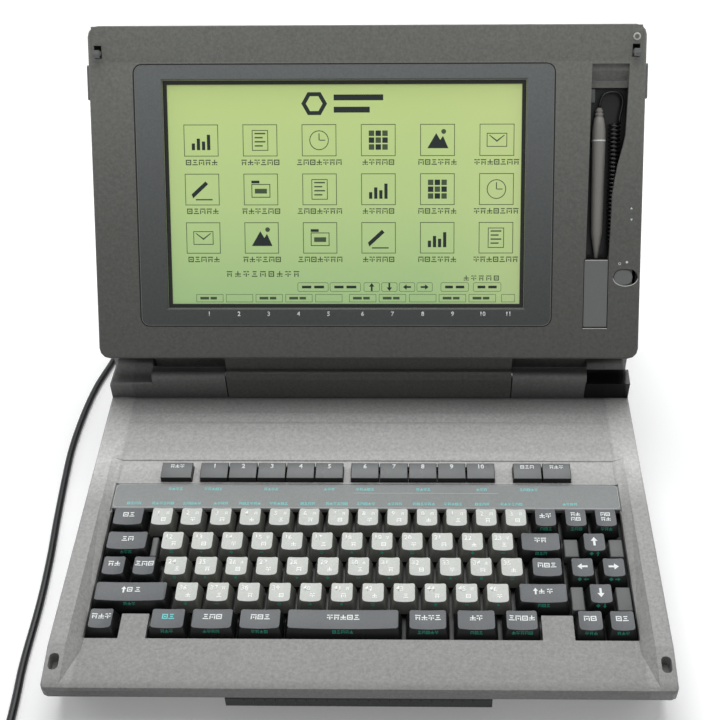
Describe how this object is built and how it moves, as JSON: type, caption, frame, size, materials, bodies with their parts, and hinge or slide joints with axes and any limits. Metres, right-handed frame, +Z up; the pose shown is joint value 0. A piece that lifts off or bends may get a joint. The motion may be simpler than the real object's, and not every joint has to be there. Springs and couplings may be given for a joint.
{
  "type": "electronic word processor",
  "caption": "Notebook-style word processor: hinged lid with a pen screen, full keyboard, page printer behind the hinge, slide-out handle and a coiled power lead.",
  "frame": {"origin": "on the table, midway between the front and the back of the case and between its sides", "axes": "+X to the user's right, +Y to the back, +Z up; the user sits on the -Y side"},
  "size_m": [0.4095, 0.5579, 0.2838],
  "materials": {
    "case_plastic": "fine speckled texture",
    "lid_plastic": "fine texture",
    "bezel_plastic": "satin",
    "lcd": "green reflective display",
    "key_light": "satin",
    "key_dark": "satin",
    "gloss_black": "polished",
    "rubber_black": "matt",
    "handle_plastic": "matt",
    "steel": "turned",
    "pen_plastic": "satin",
    "strip_plastic": "satin"
  },
  "bodies": {
    "case": {"base_tray": "case_plastic", "deck_cover": "case_plastic", "rear_housing": "case_plastic", "disk_drive": "case_plastic", "key_plate": "key_light", "legend_strip": "strip_plastic", "function_key_bar": "key_dark", "status_window": "gloss_black", "carriage_shaft": "steel", "hinge_pin_left": "steel", "hinge_pin_right": "steel", "foot_front_left": "rubber_black", "foot_front_right": "rubber_black", "foot_rear_left": "rubber_black", "foot_rear_right": "rubber_black", "strain_relief": "rubber_black", "power_cord": "rubber_black", "cord_coil": "rubber_black", "plug": "rubber_black"},
    "lid": {"lid_front": "lid_plastic", "lid_back": "lid_plastic", "screen_bezel": "bezel_plastic", "lcd_panel": "lcd", "pen_cord": "rubber_black"},
    "pen": {"pen": "pen_plastic"},
    "lever": {"pen_lever": "pen_plastic"},
    "contrast": {"contrast_knob": "pen_plastic"},
    "left_latch": {"latch_left": "case_plastic"},
    "right_latch": {"latch_right": "case_plastic"},
    "handle": {"carry_handle": "handle_plastic"},
    "cover": {"printer_cover": "case_plastic"},
    "platen": {"platen_roller": "rubber_black"},
    "carriage": {"print_carriage": "key_dark"},
    "eject": {"eject_button": "key_dark"},
    "switch": {"power_switch": "gloss_black"},
    "key_01": {"key_width_mode": "key_dark"},
    "key_02": {"key_backspace": "key_dark"},
    "key_03": {"key_overwrite": "key_dark"},
    "key_04": {"key_select": "key_dark"},
    "key_05": {"key_tab": "key_dark"},
    "key_06": {"key_return": "key_dark"},
    "key_07": {"key_arrow_up": "key_dark"},
    "key_08": {"key_latin": "key_dark"},
    "key_09": {"key_lock": "key_dark"},
    "key_10": {"key_script": "key_dark"},
    "key_11": {"key_arrow_left": "key_dark"},
    "key_12": {"key_arrow_right": "key_dark"},
    "key_13": {"key_shift_left": "key_dark"},
    "key_14": {"key_shift_right": "key_dark"},
    "key_15": {"key_arrow_down": "key_dark"},
    "key_16": {"key_repeat": "key_dark"},
    "key_17": {"key_function": "key_dark"},
    "key_18": {"key_previous": "key_dark"},
    "key_19": {"key_keep": "key_dark"},
    "key_20": {"key_convert": "key_dark"},
    "key_21": {"key_space": "key_dark"},
    "key_22": {"key_cancel": "key_dark"},
    "key_23": {"key_plain": "key_dark"},
    "key_24": {"key_release": "key_dark"},
    "key_25": {"key_run": "key_dark"}
  },
  "joints": [
    {"name": "lid_hinge", "type": "hinge", "parent": "case", "child": "lid", "pos_m": [0, 0.03982, 0.07389], "axis": [1, 0, 0], "range_deg": [-8, 125.4]},
    {"name": "latch_left_slide", "type": "slide", "parent": "lid", "child": "left_latch", "axis": [0, 0.5247, 0.8513], "range_m": [0, 0.003], "stiffness_N_per_m": 200, "springref_m": -0.001},
    {"name": "latch_right_slide", "type": "slide", "parent": "lid", "child": "right_latch", "axis": [0, 0.5247, 0.8513], "range_m": [0, 0.003], "stiffness_N_per_m": 200, "springref_m": -0.001},
    {"name": "contrast_slide", "type": "slide", "parent": "lid", "child": "contrast", "axis": [1, 0, 0], "range_m": [0, 0.0024]},
    {"name": "pen_lift", "type": "slide", "parent": "lid", "child": "pen", "axis": [0, 0.8513, -0.5247], "range_m": [-0.011, 0], "deforming": ["pen_cord"]},
    {"name": "lever_rock", "type": "hinge", "parent": "lid", "child": "lever", "pos_m": [0.15415, 0.05668, 0.13134], "axis": [1, 0, 0], "range_deg": [0, 5], "stiffness_Nm_per_rad": 0.02, "springref_deg": -1.72},
    {"name": "handle_slide", "type": "slide", "parent": "case", "child": "handle", "axis": [0, -1, 0], "range_m": [0, 0.02]},
    {"name": "cover_hinge", "type": "hinge", "parent": "case", "child": "cover", "pos_m": [0, 0.16, 0.08695], "axis": [-1, 0, 0], "range_deg": [0, 85]},
    {"name": "platen_spin", "type": "hinge", "parent": "case", "child": "platen", "pos_m": [0, 0.137, 0.066], "axis": [1, 0, 0], "continuous": true},
    {"name": "carriage_slide", "type": "slide", "parent": "case", "child": "carriage", "axis": [1, 0, 0], "range_m": [-0.11, 0.11]},
    {"name": "eject_press", "type": "slide", "parent": "case", "child": "eject", "axis": [-1, 0, 0], "range_m": [0, 0.0015], "stiffness_N_per_m": 200, "springref_m": -0.001},
    {"name": "switch_rock", "type": "hinge", "parent": "case", "child": "switch", "pos_m": [-0.1765, 0.095, 0.068], "axis": [0, 0, 1], "range_deg": [0, 12]},
    {"name": "key_01_press", "type": "slide", "parent": "case", "child": "key_01", "axis": [0, 0.0958, -0.9954], "range_m": [0, 0.003], "stiffness_N_per_m": 200, "springref_m": -0.001},
    {"name": "key_02_press", "type": "slide", "parent": "case", "child": "key_02", "axis": [0, 0.0958, -0.9954], "range_m": [0, 0.003], "stiffness_N_per_m": 200, "springref_m": -0.001},
    {"name": "key_03_press", "type": "slide", "parent": "case", "child": "key_03", "axis": [0, 0.0958, -0.9954], "range_m": [0, 0.003], "stiffness_N_per_m": 200, "springref_m": -0.001},
    {"name": "key_04_press", "type": "slide", "parent": "case", "child": "key_04", "axis": [0, 0.0958, -0.9954], "range_m": [0, 0.003], "stiffness_N_per_m": 200, "springref_m": -0.001},
    {"name": "key_05_press", "type": "slide", "parent": "case", "child": "key_05", "axis": [0, 0.0958, -0.9954], "range_m": [0, 0.003], "stiffness_N_per_m": 200, "springref_m": -0.001},
    {"name": "key_06_press", "type": "slide", "parent": "case", "child": "key_06", "axis": [0, 0.0958, -0.9954], "range_m": [0, 0.003], "stiffness_N_per_m": 200, "springref_m": -0.001},
    {"name": "key_07_press", "type": "slide", "parent": "case", "child": "key_07", "axis": [0, 0.0958, -0.9954], "range_m": [0, 0.003], "stiffness_N_per_m": 200, "springref_m": -0.001},
    {"name": "key_08_press", "type": "slide", "parent": "case", "child": "key_08", "axis": [0, 0.0958, -0.9954], "range_m": [0, 0.003], "stiffness_N_per_m": 200, "springref_m": -0.001},
    {"name": "key_09_press", "type": "slide", "parent": "case", "child": "key_09", "axis": [0, 0.0958, -0.9954], "range_m": [0, 0.003], "stiffness_N_per_m": 200, "springref_m": -0.001},
    {"name": "key_10_press", "type": "slide", "parent": "case", "child": "key_10", "axis": [0, 0.0958, -0.9954], "range_m": [0, 0.003], "stiffness_N_per_m": 200, "springref_m": -0.001},
    {"name": "key_11_press", "type": "slide", "parent": "case", "child": "key_11", "axis": [0, 0.0958, -0.9954], "range_m": [0, 0.003], "stiffness_N_per_m": 200, "springref_m": -0.001},
    {"name": "key_12_press", "type": "slide", "parent": "case", "child": "key_12", "axis": [0, 0.0958, -0.9954], "range_m": [0, 0.003], "stiffness_N_per_m": 200, "springref_m": -0.001},
    {"name": "key_13_press", "type": "slide", "parent": "case", "child": "key_13", "axis": [0, 0.0958, -0.9954], "range_m": [0, 0.003], "stiffness_N_per_m": 200, "springref_m": -0.001},
    {"name": "key_14_press", "type": "slide", "parent": "case", "child": "key_14", "axis": [0, 0.0958, -0.9954], "range_m": [0, 0.003], "stiffness_N_per_m": 200, "springref_m": -0.001},
    {"name": "key_15_press", "type": "slide", "parent": "case", "child": "key_15", "axis": [0, 0.0958, -0.9954], "range_m": [0, 0.003], "stiffness_N_per_m": 200, "springref_m": -0.001},
    {"name": "key_16_press", "type": "slide", "parent": "case", "child": "key_16", "axis": [0, 0.0958, -0.9954], "range_m": [0, 0.003], "stiffness_N_per_m": 200, "springref_m": -0.001},
    {"name": "key_17_press", "type": "slide", "parent": "case", "child": "key_17", "axis": [0, 0.0958, -0.9954], "range_m": [0, 0.003], "stiffness_N_per_m": 200, "springref_m": -0.001},
    {"name": "key_18_press", "type": "slide", "parent": "case", "child": "key_18", "axis": [0, 0.0958, -0.9954], "range_m": [0, 0.003], "stiffness_N_per_m": 200, "springref_m": -0.001},
    {"name": "key_19_press", "type": "slide", "parent": "case", "child": "key_19", "axis": [0, 0.0958, -0.9954], "range_m": [0, 0.003], "stiffness_N_per_m": 200, "springref_m": -0.001},
    {"name": "key_20_press", "type": "slide", "parent": "case", "child": "key_20", "axis": [0, 0.0958, -0.9954], "range_m": [0, 0.003], "stiffness_N_per_m": 200, "springref_m": -0.001},
    {"name": "key_21_press", "type": "slide", "parent": "case", "child": "key_21", "axis": [0, 0.0958, -0.9954], "range_m": [0, 0.003], "stiffness_N_per_m": 200, "springref_m": -0.001},
    {"name": "key_22_press", "type": "slide", "parent": "case", "child": "key_22", "axis": [0, 0.0958, -0.9954], "range_m": [0, 0.003], "stiffness_N_per_m": 200, "springref_m": -0.001},
    {"name": "key_23_press", "type": "slide", "parent": "case", "child": "key_23", "axis": [0, 0.0958, -0.9954], "range_m": [0, 0.003], "stiffness_N_per_m": 200, "springref_m": -0.001},
    {"name": "key_24_press", "type": "slide", "parent": "case", "child": "key_24", "axis": [0, 0.0958, -0.9954], "range_m": [0, 0.003], "stiffness_N_per_m": 200, "springref_m": -0.001},
    {"name": "key_25_press", "type": "slide", "parent": "case", "child": "key_25", "axis": [0, 0.0958, -0.9954], "range_m": [0, 0.003], "stiffness_N_per_m": 200, "springref_m": -0.001}
  ]
}
